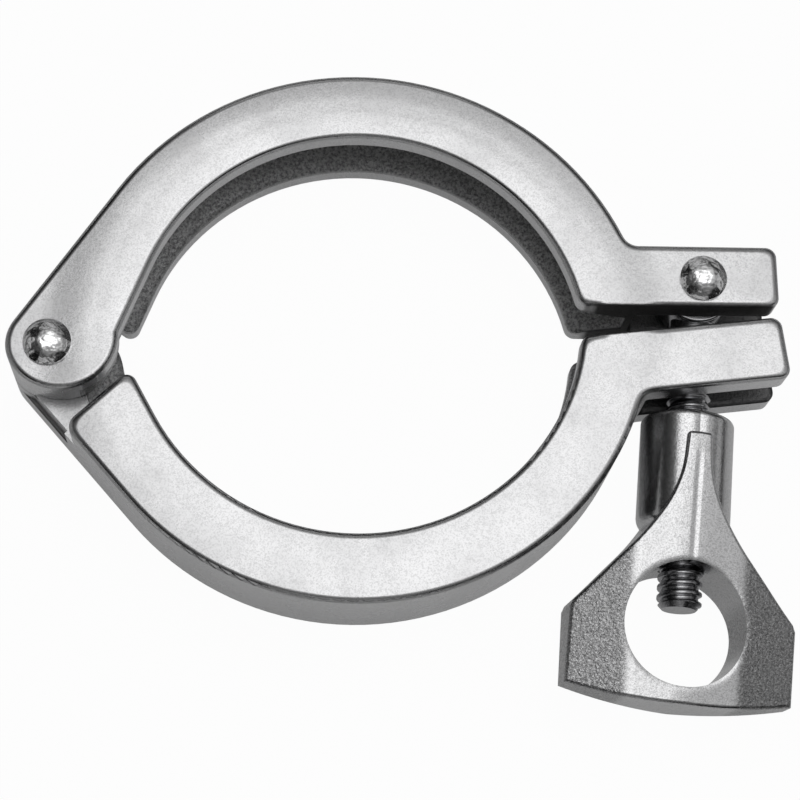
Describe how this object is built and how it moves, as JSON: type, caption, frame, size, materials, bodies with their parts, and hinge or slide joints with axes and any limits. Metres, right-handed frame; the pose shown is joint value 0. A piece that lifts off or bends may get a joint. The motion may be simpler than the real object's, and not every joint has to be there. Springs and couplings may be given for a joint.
{
  "type": "sanitary hinged clamp",
  "caption": "Hinged ring clamp with a V-groove that squeezes two flanged tube ends together, closed by a swing bolt and a wing nut.",
  "frame": {"origin": "centre of the upper half's ring, on the back face", "axes": "+X from the hinge to the lugs, +Y from the lower half to the upper half, +Z along the bore towards the front face"},
  "size_m": [0.1383, 0.1151, 0.0224],
  "materials": {
    "castings": "tumbled satin",
    "rivets": "polished",
    "bolt": "machined",
    "nut": "tumbled satin"
  },
  "bodies": {
    "upper_half": {"upper_half": "castings", "hinge_rivet": "rivets", "lug_rivet": "rivets"},
    "lower_half": {"lower_half": "castings"},
    "swing_bolt": {"swing_bolt": "bolt"},
    "wing_nut": {"wing_nut": "nut"}
  },
  "joints": [
    {"name": "hinge_open", "type": "hinge", "parent": "upper_half", "child": "lower_half", "pos_m": [-0.0545, 0, 0.0095], "axis": [0, 0, 1], "range_deg": [-104, 0]},
    {"name": "bolt_swing", "type": "hinge", "parent": "upper_half", "child": "swing_bolt", "pos_m": [0.0617, 0.0136, 0.0095], "axis": [0, 0, 1], "range_deg": [0, 210.5]},
    {"name": "wing_nut_spin", "type": "hinge", "parent": "swing_bolt", "child": "wing_nut", "pos_m": [0.0617, 0.0136, 0.0095], "axis": [-0.0924, -0.9957, 0], "continuous": true}
  ],
  "couplings": [
    {"joint": "bolt_swing", "follows": "hinge_open", "ratio": -2.02}
  ]
}
